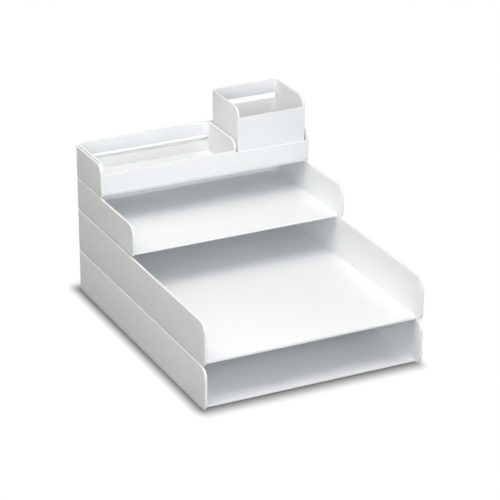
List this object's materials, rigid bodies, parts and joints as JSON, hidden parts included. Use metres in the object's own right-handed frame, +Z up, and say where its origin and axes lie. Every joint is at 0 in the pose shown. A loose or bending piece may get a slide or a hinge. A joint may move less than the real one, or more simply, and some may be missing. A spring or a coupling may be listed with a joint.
{
  "type": "letter tray stack",
  "caption": "Stepped desk stack of open-front letter trays under a shallow walled tray that holds a lift-out pen tray and a taller lift-out pen cup.",
  "frame": {"origin": "on the desk, under the middle of the stack's outline", "axes": "+Z up; -Y towards the open fronts of the letter trays; +X towards the side where the pen cup stands"},
  "size_m": [0.265, 0.36, 0.2265],
  "materials": {
    "white_plastic": "satin moulded white",
    "foot_rubber": "matt dark grey"
  },
  "bodies": {
    "bottom_letter_tray": {"bottom_letter_tray": "white_plastic", "foot_front_left": "foot_rubber", "foot_front_right": "foot_rubber", "foot_rear_left": "foot_rubber", "foot_rear_right": "foot_rubber"},
    "second_letter_tray": {"second_letter_tray": "white_plastic"},
    "half_tray": {"half_tray": "white_plastic"},
    "top_tray": {"top_tray": "white_plastic"},
    "pen_tray": {"pen_tray": "white_plastic"},
    "pen_cup": {"pen_cup": "white_plastic"}
  },
  "joints": [
    {"name": "second_letter_tray_lift", "type": "slide", "parent": "bottom_letter_tray", "child": "second_letter_tray", "axis": [0, 0, 1], "range_m": [0, 0.06]},
    {"name": "half_tray_lift", "type": "slide", "parent": "second_letter_tray", "child": "half_tray", "axis": [0, 0, 1], "range_m": [0, 0.06]},
    {"name": "top_tray_lift", "type": "slide", "parent": "half_tray", "child": "top_tray", "axis": [0, 0, 1], "range_m": [0, 0.06]},
    {"name": "pen_tray_lift", "type": "slide", "parent": "top_tray", "child": "pen_tray", "axis": [0, 0, 1], "range_m": [0, 0.06]},
    {"name": "pen_cup_lift", "type": "slide", "parent": "top_tray", "child": "pen_cup", "axis": [0, 0, 1], "range_m": [0, 0.06]}
  ]
}
